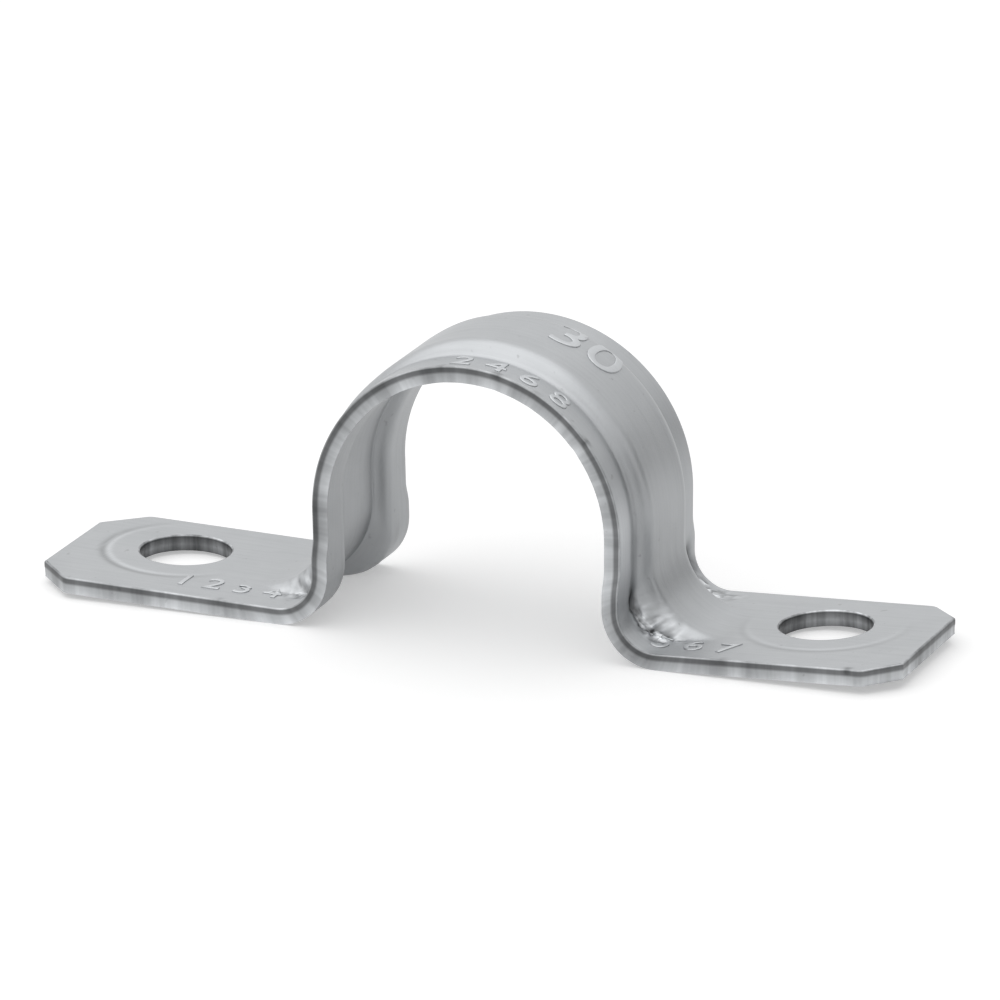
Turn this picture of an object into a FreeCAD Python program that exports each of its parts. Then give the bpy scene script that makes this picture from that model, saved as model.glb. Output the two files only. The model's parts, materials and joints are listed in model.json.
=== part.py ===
import FreeCAD, Part
import os
from math import cos, pi, radians, sin, tan

# Two-hole conduit strap: one piece of zinc-plated sheet steel, cut out flat,
# pressed to an arch with a foot on each side, and stiffened by a broad rib
# that runs over the arch, down both legs and out into the feet.
#
# Frame: +X along the strap, +Y across it, +Z up.  The origin is on the
# mounting surface, half-way between the two screw holes and half-way across
# the sheet.  Millimetres and degrees.

# --- driving dimensions ------------------------------------------------------
conduit_od = 21.34          # 1/2 inch trade size rigid conduit
sheet = 1.21                # 18 gauge steel
foot_width = 15.4           # the sheet where it is flat
arch_centre_z = 8.94        # the conduit's axis above the mounting surface
arch_shift = 0.85           # the arch sits this far towards the right foot

right_end = 33.44           # the ends of the feet from the origin
left_end = 33.44
right_rise = 2.4            # each foot springs up towards its end, in degrees
left_rise = 1.4
leg_lean = 0.8              # the legs close in below the arch, in degrees
bend_radius = 2.8           # inside radius of the bend between leg and foot

right_corner = 2.3          # cut corners of the right foot
left_corner = 2.9           # and of the left foot
corner_round = 0.35         # the punch leaves the cut corners slightly round

hole_diameter = 6.35        # clears a No. 12 or 1/4 inch screw
hole_spacing = 50.0
hole_offset_y = 1.65        # the holes sit behind the middle line

rib_height = 0.9            # how far the rib stands out of the sheet
rib_root_width = 9.4        # across the rib at the sheet's outer face
rib_wall_angle = 50.0       # slope of the rib's sides, in degrees
root_radius = 0.6           # outer face, where the rib's side meets the flange
crown_radius = 1.5          # outer face, where the side turns into the crown
run_out_radius = 5.2        # the rib's crown sweeps into the foot on this radius

waist = 0.45                # the rib draws each edge in by this much
waist_low = 5.0             # the edges draw in between these two heights
waist_high = 6.8

hole_roll = 0.15            # the punch rolls the holes' upper rims over

# --- values that follow ------------------------------------------------------
seat_radius = conduit_od / 2
heel_radius = bend_radius + sheet
overrun = 3.0               # how far the tool bodies run past the sheet
bottom_z = -overrun
press_margin = 1.2          # the press reaches this far beyond the run-outs
press_reach = seat_radius + sheet + rib_height + run_out_radius + press_margin
wall_steps = 4              # sections along each rounding of the rib's side


def vec(x, z, y=0.0):
    return FreeCAD.Vector(x, y, z)


class Side:
    """One half of the strap's path in the XZ plane, drawn as a right half.

    A point goes out from the middle as (distance from the arch's axis, z).
    mirror is -1 for the left half.
    """

    def __init__(self, mirror, end, rise):
        self.mirror = mirror
        self.end = end - mirror * arch_shift + overrun
        lean = radians(leg_lean)
        rise = radians(rise)
        self.leg_dir = vec(-sin(lean), -cos(lean))
        self.leg_out = vec(cos(lean), -sin(lean))
        self.foot_dir = vec(cos(rise), sin(rise))
        self.foot_up = vec(-sin(rise), cos(rise))
        self.arch = vec(0, arch_centre_z)
        self.turn = pi / 2 + lean + rise
        start = self.arch + self.leg_out * (seat_radius + heel_radius)
        self.leg_length = (start.z - heel_radius) / cos(lean)
        self.bend = start + self.leg_dir * self.leg_length

    def path(self, leg_offset, foot_offset, radius):
        """End of arch, two ends and middle of the bend, and the foot's end."""
        top = self.arch + self.leg_out * (seat_radius + leg_offset)
        foot = self.bend + self.foot_up * (foot_offset - heel_radius)
        # the corner where the leg's line and the foot's line would meet
        gap = foot - top
        cross = self.leg_dir.x * self.foot_dir.z - self.leg_dir.z * self.foot_dir.x
        along = (gap.x * self.foot_dir.z - gap.z * self.foot_dir.x) / cross
        corner = top + self.leg_dir * along
        tangent = radius * tan(self.turn / 2)
        bend_in = corner - self.leg_dir * tangent
        bend_out = corner + self.foot_dir * tangent
        centre = bend_in + self.leg_out * radius
        inward = corner - centre
        inward.normalize()
        bend_mid = centre + inward * radius
        toe = self.on_foot(press_reach, foot_offset)
        return [self.place(p) for p in (top, bend_in, bend_mid, bend_out, toe)]

    def on_foot(self, out, offset):
        """The point of the foot, out from the arch, on one of its faces."""
        foot = self.bend + self.foot_up * (offset - heel_radius)
        return foot + self.foot_dir * ((out - foot.x) / self.foot_dir.x)

    def plate(self):
        """The flat part of the foot, from the end of the rib outwards."""
        corners = [self.on_foot(press_reach, 0), self.on_foot(self.end, 0),
                   self.on_foot(self.end, sheet), self.on_foot(press_reach, sheet)]
        points = [self.place(p) - vec(0, 0, foot_width / 2 + overrun) for p in corners]
        outline = Part.Face(Part.makePolygon(points + points[:1]))
        return outline.extrude(vec(0, 0, foot_width + 2 * overrun))

    def place(self, p):
        return vec(arch_shift + self.mirror * p.x, p.z)


right = Side(1, right_end, right_rise)
left = Side(-1, left_end, left_rise)


def face_edges(y, lift, face):
    """One face of the sheet at one y, from the right foot over to the left.

    face is sheet for the outer face and 0 for the inner one.  lift is the
    share of the rib's height reached there, from 0 on the flange to 1 on the
    crown.
    """
    offset = face + rib_height * lift
    radius = bend_radius + (run_out_radius - bend_radius) * lift + sheet - face
    r_top, r_in, r_mid, r_out, r_toe = right.path(offset, face, radius)
    l_top, l_in, l_mid, l_out, l_toe = left.path(offset, face, radius)
    crest = vec(arch_shift, arch_centre_z + seat_radius + offset)
    curves = [
        Part.LineSegment(r_toe, r_out),
        Part.Arc(r_out, r_mid, r_in),
        Part.LineSegment(r_in, r_top),
        Part.Arc(r_top, crest, l_top),
        Part.LineSegment(l_top, l_in),
        Part.Arc(l_in, l_mid, l_out),
        Part.LineSegment(l_out, l_toe),
    ]
    edges = [curve.toShape() for curve in curves]
    for edge in edges:
        edge.translate(vec(0, 0, y))
    return edges


def section(outer, inner):
    """The sheet's closed outline through a station (y, lift) of each face."""
    over = face_edges(*outer, sheet)
    below = face_edges(*inner, 0)
    ends = []
    for index in (0, -1):
        a = max((v.Point for v in over[index].Vertexes), key=lambda p: abs(p.x))
        b = max((v.Point for v in below[index].Vertexes), key=lambda p: abs(p.x))
        ends.append(Part.LineSegment(a, b).toShape())
    return Part.Wire(over + [ends[1]] + below[::-1] + [ends[0]])


def rib_side(face):
    """Stations (y, lift) down one side of the rib, from its root to its crown.

    Two arcs about fixed centres, joined by their common slope, so that the
    sheet keeps its thickness round both of them.
    """
    slope = radians(rib_wall_angle)
    root = root_radius + sheet - face
    crown = crown_radius - sheet + face
    rounds = (root_radius + crown_radius) * (1 - cos(slope))
    straight = (rib_height - rounds) / sin(slope)
    root_y = rib_root_width / 2
    crown_y = root_y - (root_radius + crown_radius) * sin(slope) - straight * cos(slope)
    stations = []
    for step in range(wall_steps + 1):
        angle = slope * step / wall_steps
        stations.append((root_y - root * sin(angle), root * (1 - cos(angle)) / rib_height))
    for step in range(wall_steps, -1, -1):
        angle = slope * step / wall_steps
        stations.append((crown_y + crown * sin(angle), 1 - crown * (1 - cos(angle)) / rib_height))
    return stations


def pressed_sheet():
    """The arch, legs and bends: two flanges, the rib's sides and its crown."""
    edge_y = foot_width / 2 + overrun
    stations = list(zip(rib_side(sheet), rib_side(0)))
    root_y = stations[0][0][0]
    crown_y = stations[-1][0][0]
    root = section(*stations[0])
    crown = section(*stations[-1])
    flange = Part.Face(root).extrude(vec(0, 0, edge_y - root_y))
    side = Part.makeLoft([section(*pair) for pair in stations], True, True)
    top = Part.Face(crown).extrude(vec(0, 0, -2 * crown_y))
    mirror = (FreeCAD.Vector(0, 0, 0), FreeCAD.Vector(0, 1, 0))
    return top.multiFuse([side, flange, side.mirror(*mirror), flange.mirror(*mirror)])


def plan_outline():
    """What is left of the sheet seen from above: two feet with cut corners."""
    half = foot_width / 2
    corners = [
        (right_end, half - right_corner), (right_end - right_corner, half),
        (left_corner - left_end, half), (-left_end, half - left_corner),
        (-left_end, left_corner - half), (left_corner - left_end, -half),
        (right_end - right_corner, -half), (right_end, right_corner - half),
    ]
    points = [vec(x, bottom_z, y) for x, y in corners]
    height = arch_centre_z + conduit_od + 2 * overrun
    blank = Part.Face(Part.makePolygon(points + points[:1])).extrude(vec(0, height))
    upright = [e for e in blank.Edges if abs(e.tangentAt(e.FirstParameter).z) > 0.9]
    return blank.makeFillet(corner_round, upright)


def waist_outline():
    """What is left seen along the strap: full width low down, drawn in above."""
    half = foot_width / 2
    top_z = arch_centre_z + conduit_od + overrun
    middle = vec(0, (waist_low + waist_high) / 2, half - waist / 2)
    lower = vec(0, waist_low, half)
    upper = vec(0, waist_high, half - waist)
    ease = vec(0, (waist_high - waist_low) / 3)
    curve = Part.BezierCurve()
    curve.setPoles([lower, lower + ease, upper - ease, upper])
    outline = [
        Part.LineSegment(vec(0, bottom_z, half), lower).toShape(),
        curve.toShape(),
        Part.LineSegment(upper, vec(0, top_z, half - waist)).toShape(),
    ]
    far = Part.Wire(outline)
    near = far.mirror(FreeCAD.Vector(0, 0, 0), FreeCAD.Vector(0, 1, 0))
    lid = Part.LineSegment(vec(0, top_z, half - waist), vec(0, top_z, waist - half)).toShape()
    floor = Part.LineSegment(vec(0, bottom_z, half), vec(0, bottom_z, -half)).toShape()
    wire = Part.Wire(Part.__sortEdges__(far.Edges + near.Edges + [lid, floor]))
    prism = Part.Face(wire).extrude(vec(left_end + right_end + 2 * overrun, 0))
    prism.translate(vec(-left_end - overrun, 0))
    return prism


def foot(side):
    """The flat foot with its screw hole, whose upper rim the punch rolls over."""
    axis = vec(side.mirror * hole_spacing / 2, bottom_z, hole_offset_y)
    drill = Part.makeCylinder(hole_diameter / 2, arch_centre_z, axis)
    plate = side.plate().cut(drill)
    rims = [e for e in plate.Edges if e.BoundBox.YLength < hole_diameter + sheet and len(e.Vertexes) == 1]
    upper = max(rims, key=lambda e: e.CenterOfMass.z)
    return plate.makeFillet(hole_roll, [upper])


blank = plan_outline()
pressed = pressed_sheet().common(blank).common(waist_outline())
feet = [foot(side).common(blank) for side in (right, left)]
strap = pressed.multiFuse(feet)
print("solids", len(strap.Solids), "faces", len(strap.Faces), "valid", strap.isValid())
print("volume", round(strap.Volume, 1), strap.optimalBoundingBox())

os.makedirs("parts", exist_ok=True)
strap.Solids[0].exportStep("parts/strap.step")
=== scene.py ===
# %% [markdown]
# # A pressed steel conduit strap
#
# The strap is one strip of zinc-plated sheet, cut out and pierced flat and then pressed
# over an arch.  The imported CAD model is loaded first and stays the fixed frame: it gives
# the size, the seat and the holes, and everything made here has to lie where it lies.

# %% Load the frame
import json
from math import atan2, cos, exp, hypot, pi, radians, sin, tan

import bmesh
import bpy
from mathutils import Matrix, Vector, noise


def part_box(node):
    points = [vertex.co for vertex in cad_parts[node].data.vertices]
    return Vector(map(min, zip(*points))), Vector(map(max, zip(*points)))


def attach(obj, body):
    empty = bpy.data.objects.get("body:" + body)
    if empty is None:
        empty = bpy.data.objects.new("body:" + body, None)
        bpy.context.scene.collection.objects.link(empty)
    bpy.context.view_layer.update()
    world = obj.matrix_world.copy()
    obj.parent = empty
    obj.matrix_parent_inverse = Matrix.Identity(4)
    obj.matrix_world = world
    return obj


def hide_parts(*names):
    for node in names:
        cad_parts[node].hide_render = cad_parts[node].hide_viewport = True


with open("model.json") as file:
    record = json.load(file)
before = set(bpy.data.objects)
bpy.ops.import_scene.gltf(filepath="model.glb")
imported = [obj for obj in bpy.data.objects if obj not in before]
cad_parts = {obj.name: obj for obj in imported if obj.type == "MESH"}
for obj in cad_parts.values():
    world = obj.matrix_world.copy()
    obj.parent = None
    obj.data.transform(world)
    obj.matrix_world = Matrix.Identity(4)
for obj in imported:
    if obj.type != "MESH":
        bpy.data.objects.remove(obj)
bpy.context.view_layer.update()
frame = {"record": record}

low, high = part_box("strap")
print("strap box in mm:", [round(v * 1000, 2) for v in (*low, *high)])

# %% [markdown]
# ## What the frame says
#
# The two mounts carry the dimensions that matter: where the conduit lies and how thick it
# is, and where the screw holes are.  The rest are the sheet's own sizes, in millimetres,
# because a press shop works in millimetres.  MM turns them into Blender's metres.

# %% Sizes
MM = 0.001
mounts = {mount["name"]: mount for mount in frame["record"]["mounts"]}
seat = mounts["conduit_seat"]
holes = mounts["screw_holes"]

seat_radius = seat["dims"]["r_mm"]
arch_x = seat["pos_m"][0] / MM
arch_z = seat["pos_m"][2] / MM
hole_radius = holes["dims"]["hole_r_mm"]
hole_reach = holes["dims"]["spacing_x_mm"] / 2
hole_y = holes["pos_m"][1] / MM

foot_half = high.y / MM
right_end = high.x / MM
left_end = -low.x / MM
crest_z = high.z / MM

sheet = 1.21
rib_height = crest_z - arch_z - seat_radius - sheet
bend_radius = 2.8
run_out_radius = 5.2
heel_radius = bend_radius + sheet
leg_lean = radians(0.8)
rise = {1: radians(2.4), -1: radians(1.4)}
corner = {1: 2.3, -1: 2.9}
rib_root = 4.7
wall_angle = radians(50)
root_radius = 0.6
crown_radius = 1.5
draw_in = 0.45
draw_low = 5.0
draw_high = 6.8
settle_run = 1.0          # past the rib, the sheet lies flat again after this much of the foot
press_reach = seat_radius + sheet + rib_height + run_out_radius + 1.2
print("rib height in mm:", round(rib_height, 3))

# %% [markdown]
# ## The press tool
#
# A press doesn't know about faces and edges: it takes every point of a flat blank and
# moves it to its place on the tool.  The next functions do the same.  First comes the side
# view of one half of the strap.  The tool's surface there is an arc, a straight leg, a bend
# and a foot, and the rib lifts the arc and the leg outwards and opens up the bend.


# %% Side view of one half
def side_path(side, lift, face):
    """Arch end, start of bend, bend centre, end of bend and toe, seen from the side.

    lift is the share of the rib's height, and face is sheet on the outer face and 0 on
    the inner one.  Points are (out, z), measured from the arch's axis.
    """
    leg_dir = Vector((-sin(leg_lean), -cos(leg_lean)))
    leg_out = Vector((cos(leg_lean), -sin(leg_lean)))
    foot_dir = Vector((cos(rise[side]), sin(rise[side])))
    foot_up = Vector((-sin(rise[side]), cos(rise[side])))
    axis = Vector((0, arch_z))
    start = axis + leg_out * (seat_radius + heel_radius)
    bend = start + leg_dir * ((start.y - heel_radius) / cos(leg_lean))
    top = axis + leg_out * (seat_radius + face + rib_height * lift)
    foot = bend + foot_up * (face - heel_radius)
    gap = foot - top
    cross = leg_dir.x * foot_dir.y - leg_dir.y * foot_dir.x
    corner_point = top + leg_dir * ((gap.x * foot_dir.y - gap.y * foot_dir.x) / cross)
    radius = bend_radius + (run_out_radius - bend_radius) * lift + sheet - face
    reach = radius * tan((pi / 2 + leg_lean + rise[side]) / 2)
    bend_in = corner_point - leg_dir * reach
    bend_out = corner_point + foot_dir * reach
    toe = foot + foot_dir * ((press_reach - foot.x) / foot_dir.x)
    return top, bend_in, bend_in + leg_out * radius, bend_out, toe, radius, foot_dir


def along_side(side, lift, face, share):
    """The point a given share of the way from the arch's end to the toe."""
    top, bend_in, centre, bend_out, toe, radius, _ = side_path(side, lift, face)
    turn = pi / 2 + leg_lean + rise[side]
    leg = (bend_in - top).length
    arc = radius * turn
    foot = (toe - bend_out).length
    run = share * (leg + arc + foot)
    if run <= leg:
        return top + (bend_in - top) * (run / leg)
    if run <= leg + arc:
        angle = (run - leg) / radius
        spoke = bend_in - centre
        c, s = cos(angle), sin(angle)
        return centre + Vector((spoke.x * c - spoke.y * s, spoke.x * s + spoke.y * c))
    return bend_out + (toe - bend_out) * ((run - leg - arc) / foot)


arch_run = seat_radius * (pi / 2 + leg_lean)
press_run = {}
for side in (1, -1):
    top, bend_in, _, bend_out, toe, radius, _ = side_path(side, 0, sheet)
    turn = pi / 2 + leg_lean + rise[side]
    press_run[side] = (bend_in - top).length + radius * turn + (toe - bend_out).length
print("arch run in mm:", round(arch_run, 2))
print("press runs in mm:", {side: round(run, 2) for side, run in press_run.items()})

# %% [markdown]
# ## Across the rib
#
# Across the strip the sheet rises from the flange to the rib's crown in an S made of two
# arcs and a short slope.  The sheet keeps its thickness round them, so the inner face
# turns about the same centres on other radii.


# %% The rib's side
slope_run = (rib_height - (root_radius + crown_radius) * (1 - cos(wall_angle))) / sin(wall_angle)
crown_y = rib_root - (root_radius + crown_radius) * sin(wall_angle) - slope_run * cos(wall_angle)


def rib_side(share, face):
    """(y, lift) a given share of the way down the rib's side, from root to crown."""
    root = root_radius + sheet - face
    crown = crown_radius - sheet + face
    root_arc = (root_radius + sheet / 2) * wall_angle
    crown_arc = (crown_radius - sheet / 2) * wall_angle
    run = share * (root_arc + slope_run + crown_arc)
    root_end = (rib_root - root * sin(wall_angle), root * (1 - cos(wall_angle)))
    crown_end = (crown_y + crown * sin(wall_angle), rib_height - crown * (1 - cos(wall_angle)))
    if run < root_arc:
        angle = wall_angle * run / root_arc
        y, rise_here = rib_root - root * sin(angle), root * (1 - cos(angle))
    elif run < root_arc + slope_run:
        part = (run - root_arc) / slope_run
        y = root_end[0] + (crown_end[0] - root_end[0]) * part
        rise_here = root_end[1] + (crown_end[1] - root_end[1]) * part
    else:
        angle = wall_angle * (1 - (run - root_arc - slope_run) / crown_arc)
        y, rise_here = crown_y + crown * sin(angle), rib_height - crown * (1 - cos(angle))
    return y, rise_here / rib_height


print("crown is", round(2 * crown_y, 2), "mm wide, root", 2 * rib_root, "mm")

# %% [markdown]
# ## One point through the press
#
# A point of the flat blank is (run, across, depth): how far along the strip from the
# crest, how far across it, and how deep in the sheet, from 0 on the outer face to 1 on
# the inner one.  The press places it on both faces and mixes the two by its depth.


# %% The press
shoulder = (-7.8, 4.2)    # the rib is a little flatter over the left shoulder of the arch
shoulder_dip = 0.48


def smooth(value):
    value = min(max(value, 0.0), 1.0)
    return value * value * (3 - 2 * value)


def bell(value, middle, width):
    return exp(-((value - middle) / width) ** 2)


def place_on_face(run, across, face):
    side = 1 if run >= 0 else -1
    run = abs(run)
    sign = 1 if across >= 0 else -1
    width = abs(across)
    foot_run = run - arch_run - press_run[side]
    if width >= rib_root:
        y, lift = width, 0.0
    elif width <= crown_y:
        y, lift = width, 1.0
    else:
        y, lift = rib_side((rib_root - width) / (rib_root - crown_y), face)
    if run <= arch_run:
        angle = run / arch_run * (pi / 2 + leg_lean)
        reach = seat_radius + face + rib_height * lift * (1 - shoulder_dip * bell(side * run, *shoulder))
        out, z = reach * sin(angle), arch_z + reach * cos(angle)
    elif foot_run <= 0:
        out, z = along_side(side, lift, face, (run - arch_run) / press_run[side])
    else:
        toe, foot_dir = side_path(side, 0, face)[4::2]
        out, z = toe + foot_dir * foot_run
        # past the rib the sheet lies flat, and across stays as it was cut
        y += (width - y) * smooth(foot_run / settle_run)
    if width > rib_root:
        drawn = draw_in * smooth((z - draw_low) / (draw_high - draw_low))
        y -= drawn * (width - rib_root) / (foot_half - rib_root)
    return Vector((arch_x + side * out, sign * y, z))


def press(run, across, depth):
    """The pressed place of a point of the blank.  Depth may lie outside 0 to 1."""
    outer = place_on_face(run, across, sheet)
    inner = place_on_face(run, across, 0)
    return outer + (inner - outer) * depth


# %% [markdown]
# ## The blank
#
# The blank is a flat grid, fine where the tool will curve it and coarser on the feet.  Its
# edges follow the cut corners.  A grid from bmesh is even, so its rows and columns are
# spaced afterwards.


# %% Rows and columns of the blank
# the cut corners are eased from this far before them to this far past them, in mm
EASE_BEFORE = 0.35
EASE_PAST = 0.25
EASE_SHARE = 0.8


def spread(stops):
    """Positions from (place, number of steps up to it) stops."""
    places = [stops[0][0]]
    for (start, _), (end, steps) in zip(stops, stops[1:]):
        places += [start + (end - start) * i / steps for i in range(1, steps + 1)]
    return places


def foot_length(side):
    """From the toe of the press to the end of the foot, along the foot."""
    end = (right_end - arch_x) if side == 1 else (left_end + arch_x)
    toe, foot_dir = side_path(side, 0, 0)[4::2]
    return (end - toe.x) / foot_dir.x


def run_stops(side):
    flat = arch_run + press_run[side]
    cut = flat + foot_length(side) - corner[side] / cos(rise[side])
    return [(arch_run, 56), (flat, 60), (cut - EASE_BEFORE, 48), (cut + EASE_PAST, 4),
            (flat + foot_length(side), 8)]


half_runs = {side: spread([(0.0, 0)] + run_stops(side)) for side in (1, -1)}
runs = [-v for v in half_runs[-1][:0:-1]] + half_runs[1]
half_widths = spread([(0.0, 0), (crown_y, 12), (rib_root, 12), (foot_half, 13)])
widths = [-v for v in half_widths[:0:-1]] + half_widths
print("blank:", len(runs), "rows by", len(widths), "columns")
print("it runs in mm from", round(runs[0], 2), "to", round(runs[-1], 2))


# %% [markdown]
# ## Cutting and piercing the blank
#
# The corners are cut at 45 degrees, so near an end every column squeezes in to keep
# inside the edge.  For a hole the grid's faces are taken out around its centre.  The rim
# of that gap is a stair, so it is extruded inwards ring by ring: each ring lies on a
# circle, and its points slide from their own angles towards even ones.


# %% Cut the outline
def half_width_at(run):
    side = 1 if run >= 0 else -1
    left = foot_length(side) + arch_run + press_run[side] - abs(run)
    cut = corner[side] / cos(rise[side])
    if left >= cut + EASE_BEFORE:
        return foot_half
    straight = foot_half - corner[side] * (1 - left / cut)
    if left <= cut - EASE_PAST:
        return straight
    ease_run = EASE_BEFORE + EASE_PAST
    ease = (cut + EASE_BEFORE - left) / ease_run
    return foot_half - 0.5 * ease * ease * ease_run * corner[side] / cut * EASE_SHARE


def foot_run_at(side, out):
    """Run of the place on a foot that is this far out from the arch's axis."""
    toe, foot_dir = side_path(side, 0, sheet)[4::2]
    return side * (arch_run + press_run[side] + (out - toe.x) / foot_dir.x)


hole_run = {side: foot_run_at(side, hole_reach - side * arch_x) for side in (1, -1)}


def cut_blank():
    blank = bmesh.new()
    bmesh.ops.create_grid(blank, x_segments=len(runs) - 1, y_segments=len(widths) - 1, size=0.5)
    for vert in blank.verts:
        run = runs[round((vert.co.x + 0.5) * (len(runs) - 1))]
        width = widths[round((vert.co.y + 0.5) * (len(widths) - 1))]
        vert.co = (run, width * half_width_at(run) / foot_half, 0)
    return blank


# %% Pierce the holes
CLEAR_RADIUS = 4.9
RIM_MARGIN = 0.6
RING_RADII = [4.4, 4.0, 3.7, 3.5, hole_radius + 0.18]


def pierce(blank, side):
    centre = Vector((hole_run[side], hole_y, 0))

    def angle(vert):
        return atan2(vert.co.y - centre.y, vert.co.x - centre.x)

    inside = [f for f in blank.faces if (f.calc_center_median() - centre).length < CLEAR_RADIUS]
    bmesh.ops.delete(blank, geom=inside, context="FACES")
    rim = [e for e in blank.edges
           if e.is_boundary and all((v.co - centre).length < CLEAR_RADIUS + RIM_MARGIN for v in e.verts)]
    own = sorted(angle(v) for v in {v for e in rim for v in e.verts})
    count = len(own)
    first = sum(a - 2 * pi * i / count for i, a in enumerate(own)) / count
    for ring, radius in enumerate(RING_RADII, start=1):
        grown = bmesh.ops.extrude_edge_only(blank, edges=rim)["geom"]
        verts = sorted((g for g in grown if isinstance(g, bmesh.types.BMVert)), key=angle)
        rim = [g for g in grown if isinstance(g, bmesh.types.BMEdge) and g.is_boundary]
        for i, vert in enumerate(verts):
            even = first + 2 * pi * i / count
            turned = own[i] + (even - own[i]) * ring / len(RING_RADII)
            vert.co = centre + Vector((cos(turned), sin(turned), 0)) * radius
    return count


blank = cut_blank()
for side in (1, -1):
    print("hole", side, "has", pierce(blank, side), "points round it")
bmesh.ops.recalc_face_normals(blank, faces=blank.faces)
if sum(f.normal.z for f in blank.faces) < 0:
    bmesh.ops.reverse_faces(blank, faces=blank.faces)
print("blank faces:", len(blank.faces))

# %% [markdown]
# ## Giving the blank its thickness
#
# Extruding the whole face gives the other face and the cut edges in one step.  A punched
# edge isn't square: the die first rolls the top corner over, then shears a smooth land, and
# the rest tears off and stays rough, with a small burr at the bottom.  So the edge is
# divided into levels, and each level is moved in or out by its place in that story.


# %% The punched edge
# depth in the sheet, how far the edge stands back there in mm, and its roughness in mm
EDGE_STORY = [(0.000, 0.150, 0.0), (0.022, 0.080, 0.0), (0.062, 0.034, 0.0), (0.125, 0.014, 0.0),
              (0.20, 0.010, 0.005), (0.42, 0.010, 0.010), (0.50, 0.030, 0.022), (0.72, 0.048, 0.030),
              (0.93, 0.060, 0.025), (1.000, 0.040, 0.018)]
# small nicks that the die left in the near edge: run, and how deep in mm
NICKS = [(-30.6, 0.04), (-1.6, 0.05), (2.3, 0.09), (5.2, 0.04), (9.7, 0.09), (31.2, 0.03), (40.6, 0.09)]
NICK_WIDTH = 0.28
NICK_REACH = 0.5          # how far in from the edge a nick can be felt
TEAR_COARSE = 1.7         # unevenness of the tear, per mm
TEAR_FINE = 5.1
TEAR_FINE_SHARE = 0.6


def thicken(blank):
    made = bmesh.ops.extrude_face_region(blank, geom=list(blank.faces))["geom"]
    lower = [g for g in made if isinstance(g, bmesh.types.BMVert)]
    bmesh.ops.translate(blank, verts=lower, vec=(0, 0, 1.0))
    upright = [e for e in blank.edges if abs(e.verts[0].co.z - e.verts[1].co.z) > 0.5]
    bmesh.ops.subdivide_edges(blank, edges=upright, cuts=len(EDGE_STORY) - 2, use_grid_fill=True)
    bmesh.ops.recalc_face_normals(blank, faces=blank.faces)
    if blank.calc_volume(signed=True) < 0:
        bmesh.ops.reverse_faces(blank, faces=blank.faces)
    blank.normal_update()
    return [f for f in blank.faces if abs(f.normal.z) < 0.5]


def nick(run, across):
    """How far the near edge stands back at its nicks, in mm."""
    if across > NICK_REACH - half_width_at(run):
        return 0.0
    return sum(deep * bell(run, place, NICK_WIDTH) for place, deep in NICKS)


def wear_edges(rim_faces):
    """Move every level of the cut edges to its place in the edge's story."""
    rim_verts = list({v for f in rim_faces for v in f.verts})
    rim = set(rim_faces)
    sideways = {}
    for vert in rim_verts:
        total = sum((f.normal for f in vert.link_faces if f in rim), Vector())
        sideways[vert] = Vector((total.x, total.y, 0)).normalized()
    for vert in rim_verts:
        depth, back, rough = EDGE_STORY[round(vert.co.z * (len(EDGE_STORY) - 1))]
        x, y, _ = vert.co
        tear = noise.noise(Vector((x * TEAR_COARSE, y * TEAR_COARSE, depth * 3)))
        tear += TEAR_FINE_SHARE * noise.noise(Vector((x * TEAR_FINE, y * TEAR_FINE, depth * 6 + 20)))
        vert.co += sideways[vert] * (rough * (tear - 0.5) - back - nick(x, y))
        vert.co.z = depth
    return len(rim_verts)


rim_faces = thicken(blank)
print("cut edges:", len(rim_faces), "faces and", wear_edges(rim_faces), "points")

# %% [markdown]
# ## Coining and creases
#
# The punch pad leaves a shallow ring round each hole.  Where the rib runs out into a foot
# the sheet has too much length and creases in a small pocket on each side of the rib.
# Each of them is a shift in mm, positive inwards, and a painted light value: above 0 it
# darkens the colour as painted shade in a groove or crease, and below 0 it lightens it as a
# painted highlight on a ridge.


# %% Ring and pockets
# Pairs say where something is strongest and how wide it is, in mm.  ALONG is counted from
# the start of the bend towards the foot, and BESIDE from the rib's root towards the edge.
RING_RADIUS = 6.0
RING_WIDTH = 0.35
RING_DEPTH = 0.05
# the next two paint shade along the outside of the coined groove and a highlight along its inner lip
RING_SHADE = (RING_RADIUS + 0.12, 0.25)
RING_HIGHLIGHT = (RING_RADIUS - 0.36, 0.2)
RING_TURN = {1: radians(-85), -1: radians(-140)}    # where round the hole it is deepest
RING_SHARE = {1: 0.45, -1: 0.8}
POCKET_ALONG = (0.2, 1.0)
POCKET_BESIDE = (-0.1, 0.6)
POCKET_DEPTH = 0.30
# painted shade in the pocket's dent
POCKET_SHADE = 1.5
CREASE_ALONG = (2.8, 2.0)
CREASE_BESIDE = (-0.3, 0.9)
CREASE_DEPTH = 0.38
# painted shade in the creases' hollows and painted highlights on their ridges
CREASE_SHADE_AND_HIGHLIGHT = 2.6
CREASES = [(1.7, 2.2, 7.0, 1.0), (3.2, 3.8, 3.0, 0.7)]    # per mm along, per mm across, seed, share
FAR_POCKET = {1: 1.6, -1: 0.9}    # the far pocket lies further from the rib, in mm
# painted shade on the inner face, inside the arch
INSIDE_SHADE = 0.15
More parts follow.
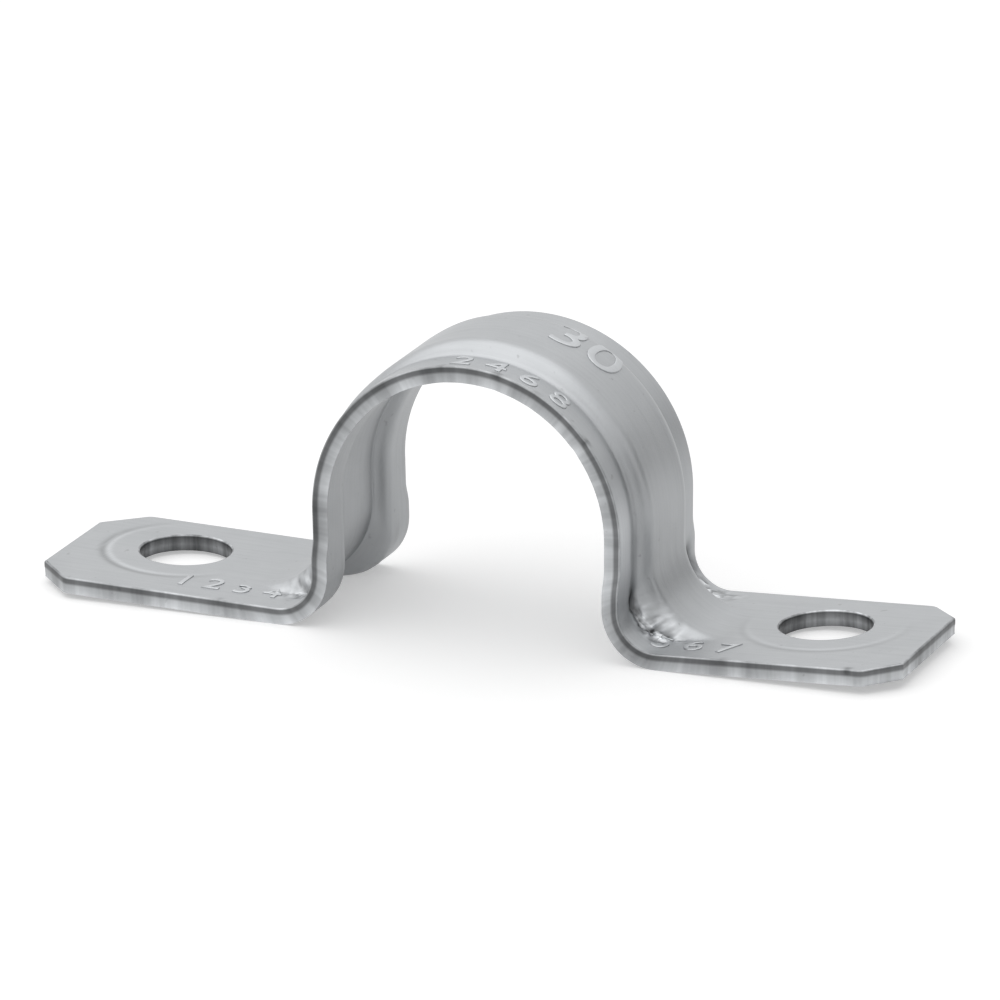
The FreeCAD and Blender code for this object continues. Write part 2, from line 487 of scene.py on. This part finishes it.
# painted shade in the crease at the foot of the rib on the legs
ROOT_SHADE = 0.30
ROOT_ACROSS = (rib_root - 0.6, 0.7)
ROOT_ALONG = (-3.5, 3.5)
FLANGE_HIGHLIGHT = 0.45        # painted highlight on the right leg's near flange, and from where outwards
FLANGE_HIGHLIGHT_FROM = rib_root + 0.2
FLANGE_HIGHLIGHT_RUN = (arch_run, 6.0)
CROWN_SHADE = 0.22       # painted shade on the right leg's crown, and how far to each side
CROWN_SHADE_TO = crown_y + 0.4
CROWN_SHADE_RUN = (arch_run + 3.0, 4.0)
PAINTED_LIGHT_FADE = 0.6
FLAT_INSIDE = 0.9         # the relief loses this share of its depth on the inner face
# painted shade in the nicks
NICK_SHADE = 8


def ring(run, across):
    side = 1 if run > 0 else -1
    reach = hypot(run - hole_run[side], across - hole_y)
    turn = atan2(across - hole_y, run - hole_run[side])
    uneven = RING_SHARE[side] * (0.2 + 0.8 * cos(turn - RING_TURN[side]))
    if reach > RING_RADIUS + 2 or uneven < 0:
        return 0.0, 0.0
    shift = RING_DEPTH * uneven * bell(reach, RING_RADIUS, RING_WIDTH)
    # painted shade outside the groove, painted highlight on its inner lip
    wear_and_painted_light = uneven * (0.6 * bell(reach, *RING_SHADE) - 0.5 * bell(reach, *RING_HIGHLIGHT))
    return shift, wear_and_painted_light


def pocket(run, across):
    side = 1 if run > 0 else -1
    top, bend_in = side_path(side, 0, sheet)[:2]
    along = abs(run) - arch_run - (bend_in - top).length
    beside = abs(across) - rib_root - (FAR_POCKET[side] if across > 0 else 0)
    dent = bell(along, *POCKET_ALONG) * bell(beside, *POCKET_BESIDE)
    ripple = sum(share * noise.noise(Vector((run * lengthwise, across * crosswise, seed)))
                 for lengthwise, crosswise, seed, share in CREASES)
    ripple *= bell(along, *CREASE_ALONG) * bell(beside, *CREASE_BESIDE)
    # painted shade in the crease at the foot of the rib on the legs
    root = bell(abs(across), *ROOT_ACROSS) * bell(along, *ROOT_ALONG)
    shift = POCKET_DEPTH * dent + CREASE_DEPTH * ripple
    # the second value paints shade in the dent and the rib's root, and shade and highlights on the ripples
    return shift, POCKET_SHADE * dent + CREASE_SHADE_AND_HIGHLIGHT * ripple + ROOT_SHADE * root


def flange_highlight_and_crown_shade(run, across):
    """A painted highlight on the right leg's near flange and painted shade on the crown beside it."""
    if run < 0:
        return 0.0
    flange = smooth((-across - FLANGE_HIGHLIGHT_FROM) / PAINTED_LIGHT_FADE) * bell(run, *FLANGE_HIGHLIGHT_RUN)
    crown = smooth((CROWN_SHADE_TO - abs(across)) / PAINTED_LIGHT_FADE) * bell(run, *CROWN_SHADE_RUN)
    return CROWN_SHADE * crown - FLANGE_HIGHLIGHT * flange


def relief(run, across, depth):
    """Shift and painted light of a point of the sheet, fading towards the inner face, which gets painted
    shade.
    """
    outside = 1 - FLAT_INSIDE * smooth(depth)
    shift, wear_and_painted_light = [(a + b) * outside for a, b in zip(ring(run, across), pocket(run, across))]
    # a nick gets painted shade where it cuts the outer face and the upper part of the edge
    wear_and_painted_light += flange_highlight_and_crown_shade(run, across) * outside + NICK_SHADE * nick(run, across) * smooth(1.3 - 2 * depth)
    return shift, wear_and_painted_light + INSIDE_SHADE * smooth(depth)


# %% [markdown]
# ## Through the press
#
# Before a flat mesh goes in, each vertex keeps its flat place in a UV map, and its depth
# and its painted shade and highlight in attributes, because the materials follow the sheet
# and not the room.

# %% Press a flat mesh
UV_MM = 10                # one unit of the UV map is a centimetre of sheet
SHARP_ANGLE = radians(42)


def pressed_object(name, flat, shape):
    uv_layer = flat.loops.layers.uv.new("sheet")
    depth_layer = flat.verts.layers.float.new("depth")
    painted_light_layer = flat.verts.layers.float.new("wear_and_painted_light")
    for face in flat.faces:
        face.smooth = True
        for loop in face.loops:
            loop[uv_layer].uv = (loop.vert.co.x / UV_MM, loop.vert.co.y / UV_MM)
    for vert in flat.verts:
        run, across, depth = vert.co
        shift, wear_and_painted_light = shape(run, across, depth)
        vert[depth_layer] = depth
        # the second attribute is painted light: above 0 painted shade, below 0 painted highlight
        vert[painted_light_layer] = wear_and_painted_light
        vert.co = press(run, across, depth + shift / sheet) * MM
    # depth runs down, so pressing turns the mesh inside out
    if flat.calc_volume(signed=True) < 0:
        bmesh.ops.reverse_faces(flat, faces=flat.faces)
    mesh = bpy.data.meshes.new(name)
    flat.to_mesh(mesh)
    flat.free()
    mesh.set_sharp_from_angle(angle=SHARP_ANGLE)
    obj = bpy.data.objects.new(name, mesh)
    bpy.context.scene.collection.objects.link(obj)
    return obj


for face in rim_faces:
    centre = face.calc_center_median()
    in_hole = any(hypot(centre.x - hole_run[side], centre.y - hole_y) < CLEAR_RADIUS for side in (1, -1))
    face.material_index = 2 if in_hole else 1
strap = pressed_object("strap_sheet", blank, relief)
strap.data.calc_loop_triangles()
corners = [v.co for v in strap.data.vertices]
print("strap triangles:", len(strap.data.loop_triangles),
      "box mm:", [round(f(c[i] for c in corners) / MM, 2) for f in (min, max) for i in range(3)])

# %% [markdown]
# ## Stamped numbers
#
# Such a strap carries raised stampings on its feet, on one flange and on the crown.  Plain
# numbers stand in for them.  Each is cut as a flat number first and goes through the same
# press as the sheet, so it follows the bend and the arch.


# %% Numbers
MARK_RELIEF = 0.075
MARK_BEVEL = 0.065
# the next two paint shade round the foot of each number and a highlight on its top
MARK_FOOT_SHADE = 0.40
MARK_TOP_HIGHLIGHT = 0.75
MARK_STEP = 0.35          # longest side of a triangle, so that a number can bend
DIGIT_SHARE = 0.7         # a digit's height as a share of the font's size


def mark_shape(run, across, depth):
    """A number follows the sheet's relief and its painted light; its foot gets painted shade and its top a
    painted highlight.
    """
    shift, wear_and_painted_light = relief(run, across, 0)
    return shift, wear_and_painted_light + MARK_FOOT_SHADE - MARK_TOP_HIGHLIGHT * smooth(-depth * sheet / MARK_RELIEF)


def number(name, digits, height, run, across):
    text = bpy.data.curves.new(name, "FONT")
    text.body = digits
    text.align_x, text.align_y = "CENTER", "CENTER"
    text.size = height / DIGIT_SHARE
    text.resolution_u = 5
    text.extrude = MARK_RELIEF - MARK_BEVEL
    text.bevel_depth = MARK_BEVEL
    text.bevel_resolution = 2
    text.offset = -MARK_BEVEL / 2
    carrier = bpy.data.objects.new(name, text)
    flat = bmesh.new()
    flat.from_mesh(bpy.data.meshes.new_from_object(carrier))
    bpy.data.objects.remove(carrier)
    bmesh.ops.remove_doubles(flat, verts=flat.verts, dist=0.002)
    bmesh.ops.triangulate(flat, faces=flat.faces)
    for _ in range(2):
        long = [e for e in flat.edges if e.calc_length() > MARK_STEP]
        bmesh.ops.subdivide_edges(flat, edges=long, cuts=1)
        bmesh.ops.triangulate(flat, faces=flat.faces)
    for vert in flat.verts:
        vert.co = (run + vert.co.x, across + vert.co.y, -vert.co.z / sheet)
    return pressed_object(name, flat, mark_shape)


marks = [
    number("mark_left_foot", "1 2 3 4", 2.1, foot_run_at(-1, 19.6), -4.7),
    number("mark_right_foot", "5 6 7", 2.2, foot_run_at(1, 16.7), -5.2),
    number("mark_flange", "2 4 6 8", 2.1, 3.0, -6.0),
    number("mark_crown", "30", 3.5, 5.1, 1.8),
]
print("numbers:", [len(mark.data.polygons) for mark in marks])

# %% [markdown]
# ## Zinc plate
#
# Electroplated zinc is a fine grey crystal layer: it scatters light like a soft metal and
# carries faint rubs along the way the sheet slid in the press.  Faces, edges and numbers
# share one node group for this, so that the plating is the same all over.


# %% Helpers for materials
def new_material(name):
    material = bpy.data.materials.new(name)
    material.use_nodes = True
    nodes, links = material.node_tree.nodes, material.node_tree.links
    return material, nodes, links, nodes["Principled BSDF"]


def add(nodes, kind, **values):
    """A node with its properties, or else its inputs, set by name."""
    node = nodes.new(kind)
    for key, value in values.items():
        if hasattr(node, key):
            setattr(node, key, value)
        else:
            node.inputs[key.replace("_", " ").title()].default_value = value
    return node


def ramp(nodes, *stops):
    node = nodes.new("ShaderNodeValToRGB")
    elements = node.color_ramp.elements
    while len(elements) < len(stops):
        elements.new(0.5)
    for element, (place, value) in zip(elements, stops):
        element.position = place
        element.color = (*value, 1) if isinstance(value, tuple) else (value, value, value, 1)
    return node


def mix_colours(nodes, links, mode, factor, first, second):
    """Mix two colours.  Each of factor, first and second is a socket or a constant."""
    node = add(nodes, "ShaderNodeMix", data_type="RGBA", blend_type=mode)
    for socket, value in zip((node.inputs[0], node.inputs[6], node.inputs[7]), (factor, first, second)):
        if isinstance(value, bpy.types.NodeSocket):
            links.new(value, socket)
        else:
            socket.default_value = value
    return node.outputs[2]


# %% Plating shared by all materials
def plating_group():
    group = bpy.data.node_groups.new("zinc_plating", "ShaderNodeTree")
    for name, kind in (("Colour", "Color"), ("Roughness", "Float"), ("Height", "Float")):
        group.interface.new_socket(name=name, in_out="OUTPUT", socket_type="NodeSocket" + kind)
    nodes, links = group.nodes, group.links
    out = nodes.new("NodeGroupOutput")
    place = nodes.new("ShaderNodeTexCoord").outputs["Object"]
    flat = add(nodes, "ShaderNodeUVMap", uv_map="sheet").outputs["UV"]

    # broad, faint clouds from the bath
    cloud = add(nodes, "ShaderNodeTexNoise", scale=330.0, detail=4.0, roughness=0.5)
    links.new(place, cloud.inputs["Vector"])
    zinc = ramp(nodes, (0.30, (0.436, 0.448, 0.460)), (0.72, (0.462, 0.474, 0.486)))
    links.new(cloud.outputs["Fac"], zinc.inputs["Fac"])

    # rubs, long along the strip and narrow across it
    stretch = add(nodes, "ShaderNodeMapping", scale=(1.1, 26.0, 1.0))
    links.new(flat, stretch.inputs["Vector"])
    wear_and_painted_light = add(nodes, "ShaderNodeTexNoise", scale=1.0, detail=4.0, roughness=0.62)
    links.new(stretch.outputs["Vector"], wear_and_painted_light.inputs["Vector"])
    rubbed = ramp(nodes, (0.34, 0.97), (0.50, 1.0), (0.70, 1.01))
    links.new(wear_and_painted_light.outputs["Fac"], rubbed.inputs["Fac"])
    colour = mix_colours(nodes, links, "MULTIPLY", 1.0, zinc.outputs["Color"], rubbed.outputs["Color"])

    # dull specks where the plating is thin
    speck = add(nodes, "ShaderNodeTexNoise", scale=1500.0, detail=2.0, roughness=0.5)
    links.new(place, speck.inputs["Vector"])
    dull = ramp(nodes, (0.70, 0.0), (0.78, 0.35))
    links.new(speck.outputs["Fac"], dull.inputs["Fac"])
    colour = mix_colours(nodes, links, "MIX", dull.outputs["Color"], colour, (0.20, 0.20, 0.20, 1))

    # painted shade and highlight: the painted-light attribute darkens grooves, creases, the inside
    # and the feet of the numbers, and lightens ridges and the tops of the numbers
    painted_light_factor = add(nodes, "ShaderNodeMapRange", from_min=-1.0, from_max=1.0, to_min=1.55, to_max=0.30)
    links.new(add(nodes, "ShaderNodeAttribute", attribute_name="wear_and_painted_light").outputs["Fac"], painted_light_factor.inputs["Value"])
    colour = mix_colours(nodes, links, "MULTIPLY", 1.0, colour, painted_light_factor.outputs["Result"])
    links.new(colour, out.inputs["Colour"])

    gloss = ramp(nodes, (0.30, 0.47), (0.70, 0.41))
    links.new(wear_and_painted_light.outputs["Fac"], gloss.inputs["Fac"])
    links.new(gloss.outputs["Color"], out.inputs["Roughness"])

    grain = add(nodes, "ShaderNodeTexNoise", scale=5200.0, detail=3.0, roughness=0.6)
    links.new(place, grain.inputs["Vector"])
    height = add(nodes, "ShaderNodeMath", operation="MULTIPLY_ADD")
    links.new(wear_and_painted_light.outputs["Fac"], height.inputs[0])
    height.inputs[1].default_value = 0.12
    links.new(grain.outputs["Fac"], height.inputs[2])
    links.new(height.outputs[0], out.inputs["Height"])
    return group


plating = plating_group()


def add_plating(nodes):
    node = nodes.new("ShaderNodeGroup")
    node.node_tree = plating
    return node


# %% Faces of the sheet
def zinc_face():
    material, nodes, links, shader = new_material("zinc_face")
    zinc = add_plating(nodes)
    bump = add(nodes, "ShaderNodeBump", strength=0.30, distance=0.00004)
    links.new(zinc.outputs["Height"], bump.inputs["Height"])
    links.new(bump.outputs["Normal"], shader.inputs["Normal"])
    links.new(zinc.outputs["Colour"], shader.inputs["Base Color"])
    links.new(zinc.outputs["Roughness"], shader.inputs["Roughness"])
    shader.inputs["Metallic"].default_value = 1.0
    return material


# %% Cut edges
# The rolled corner stays plated and bright, the sheared land is burnished, and the torn part
# below it is rough.  How bright each band is also paints light: painted shade on the land,
# and on the outer edges a painted reflection of the floor that makes the torn part lighter
# than the plating.  The punch's scores run straight through the holes, while the die's long
# blades leave the outer edges smoother.
def cut_edge(name, scoring, scores_per_cm, tone_stops):
    material, nodes, links, shader = new_material(name)
    zinc = add_plating(nodes)
    depth = add(nodes, "ShaderNodeAttribute", attribute_name="depth").outputs["Fac"]
    flat = add(nodes, "ShaderNodeUVMap", uv_map="sheet").outputs["UV"]
    story = ramp(nodes, *tone_stops)
    links.new(depth, story.inputs["Fac"])
    colour = mix_colours(nodes, links, "MULTIPLY", 1.0, zinc.outputs["Colour"], story.outputs["Color"])

    # the tear is rougher in some places than in others
    patch = add(nodes, "ShaderNodeTexNoise", scale=1.4, detail=2.0, roughness=0.5)
    links.new(flat, patch.inputs["Vector"])
    patched = ramp(nodes, (0.40, 0.80), (0.60, 1.20))
    links.new(patch.outputs["Fac"], patched.inputs["Fac"])
    colour = mix_colours(nodes, links, "MULTIPLY", 1.0, colour, patched.outputs["Color"])

    score = add(nodes, "ShaderNodeTexNoise", scale=scores_per_cm, detail=3.0, roughness=0.6)
    links.new(flat, score.inputs["Vector"])
    scored = ramp(nodes, (0.36, 0.35), (0.50, 0.95), (0.64, 1.6))
    links.new(score.outputs["Fac"], scored.inputs["Fac"])
    colour = mix_colours(nodes, links, "MULTIPLY", scoring, colour, scored.outputs["Color"])
    links.new(colour, shader.inputs["Base Color"])

    bump = add(nodes, "ShaderNodeBump", strength=0.8 * scoring, distance=0.00006)
    links.new(score.outputs["Fac"], bump.inputs["Height"])
    links.new(bump.outputs["Normal"], shader.inputs["Normal"])
    shader.inputs["Metallic"].default_value = 1.0
    shader.inputs["Roughness"].default_value = 0.45
    return material


faces = zinc_face()
# how bright the edge is at each depth in the sheet: painted shade on the land, and on the outer
# edges a painted reflection of the floor on the torn part
outer_edge_zones_and_painted_light = [(0.05, 0.80), (0.12, 0.32), (0.33, 0.36), (0.48, 0.96), (0.95, 1.28)]
hole_edge_zones_and_painted_shade = [(0.05, 0.80), (0.12, 0.28), (0.40, 0.40), (0.60, 0.55), (0.95, 0.40)]
edge = cut_edge("sheared_edge", 0.32, 7.0, outer_edge_zones_and_painted_light)
wall = cut_edge("hole_wall", 0.7, 9.0, hole_edge_zones_and_painted_shade)
for material in (faces, edge, wall):
    strap.data.materials.append(material)
for mark in marks:
    mark.data.materials.append(faces)

for piece in [strap] + marks:
    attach(piece, "root")
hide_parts("strap")
print("materials:", [material.name for material in (faces, edge, wall)])

# %% [markdown]
# ## Stage, light and camera
#
# The strap stands on a wide pale floor that fades into a white surround.  One broad soft
# panel hangs over it.  Two grey cards stand to the right, because a metal shows its form
# only where it has something darker to reflect.  This camera doesn't see them, but a low
# view from the right would have them between it and the strap.


# %% Where the surround is seen
def seen_ray(nodes, links):
    """1 for rays that look at the surround: the camera's, and those metal or glass turns."""
    path = nodes.new("ShaderNodeLightPath")
    seen = path.outputs["Is Camera Ray"]
    for name in ("Is Glossy Ray", "Is Transmission Ray"):
        either = add(nodes, "ShaderNodeMath", operation="MAXIMUM")
        links.new(seen, either.inputs[0])
        links.new(path.outputs[name], either.inputs[1])
        seen = either.outputs[0]
    return seen


# %% Floor and cards
def stage_plane(name, size, colour, roughness, place=(0, 0, 0), target=None):
    plane = bmesh.new()
    bmesh.ops.create_grid(plane, x_segments=1, y_segments=1, size=0.5)
    turn = Matrix()
    if target is not None:
        turn = (Vector(target) - Vector(place)).to_track_quat("Z", "Y").to_matrix().to_4x4()
    scale = Matrix.Diagonal((*size, 1, 1))
    bmesh.ops.transform(plane, matrix=Matrix.Translation(place) @ turn @ scale, verts=plane.verts)
    mesh = bpy.data.meshes.new(name)
    plane.to_mesh(mesh)
    plane.free()
    material, nodes, links, shader = new_material(name)
    shader.inputs["Base Color"].default_value = (colour, colour, colour, 1)
    shader.inputs["Roughness"].default_value = roughness
    mesh.materials.append(material)
    obj = bpy.data.objects.new(name, mesh)
    bpy.context.scene.collection.objects.link(obj)
    return nodes, links, shader


def stage_floor():
    nodes, links, shader = stage_plane("floor", (12, 12), 0.80, 0.9)
    glow = add(nodes, "ShaderNodeMath", operation="MULTIPLY")
    links.new(seen_ray(nodes, links), glow.inputs[0])
    glow.inputs[1].default_value = 0.34
    shader.inputs["Emission Color"].default_value = (1, 1, 1, 1)
    links.new(glow.outputs[0], shader.inputs["Emission Strength"])


# %% World and lamp
# the world is white where it is seen, and weaker where it lights the strap
WORLD_LIGHT = 0.45
WORLD_SEEN = 1.0


def set_world():
    world = bpy.data.worlds.new("studio")
    bpy.context.scene.world = world
    world.use_nodes = True
    nodes, links = world.node_tree.nodes, world.node_tree.links
    back = nodes["Background"]
    back.inputs["Color"].default_value = (1, 1, 1, 1)
    level = add(nodes, "ShaderNodeMapRange", to_min=WORLD_LIGHT, to_max=WORLD_SEEN)
    links.new(seen_ray(nodes, links), level.inputs["Value"])
    links.new(level.outputs["Result"], back.inputs["Strength"])


def soft_panel(name, place, target, size, power):
    light = bpy.data.lights.new(name, "AREA")
    light.shape = "RECTANGLE"
    light.size, light.size_y = size
    light.energy = power
    lamp = bpy.data.objects.new(name, light)
    lamp.location = place
    lamp.rotation_euler = (Vector(target) - Vector(place)).to_track_quat("-Z", "Y").to_euler()
    bpy.context.scene.collection.objects.link(lamp)


middle = (arch_x * MM, 0, arch_z * MM)
stage_floor()
stage_plane("card_right", (0.26, 0.14), 0.12, 0.9, (0.36, -0.10, 0.07), middle)
stage_plane("card_right_back", (0.22, 0.14), 0.06, 0.9, (0.30, 0.26, 0.07), middle)
set_world()
soft_panel("top_panel", (-0.12, -0.05, 0.60), middle, (1.35, 1.15), 4.0)


# %% Camera
def set_camera():
    azimuth, elevation, roll = radians(22.47), radians(17.95), radians(-0.63)
    distance = 0.706
    target = Vector((0.60, 0, 8.70)) * MM
    back = Vector((sin(azimuth) * cos(elevation), -cos(azimuth) * cos(elevation), sin(elevation)))
    right = Vector((cos(azimuth), sin(azimuth), 0))
    up = back.cross(right)
    level_right = right * cos(roll) + up * sin(roll)
    level_up = up * cos(roll) - right * sin(roll)
    data = bpy.data.cameras.new("camera")
    data.sensor_width = 36.0
    data.lens = 353.6
    data.clip_start, data.clip_end = 0.01, 20
    camera = bpy.data.objects.new("camera", data)
    turn = Matrix((level_right, level_up, back)).transposed().to_4x4()
    camera.matrix_world = Matrix.Translation(target + back * distance) @ turn
    bpy.context.scene.collection.objects.link(camera)
    bpy.context.scene.camera = camera


set_camera()
bpy.context.scene.view_settings.view_transform = "Standard"
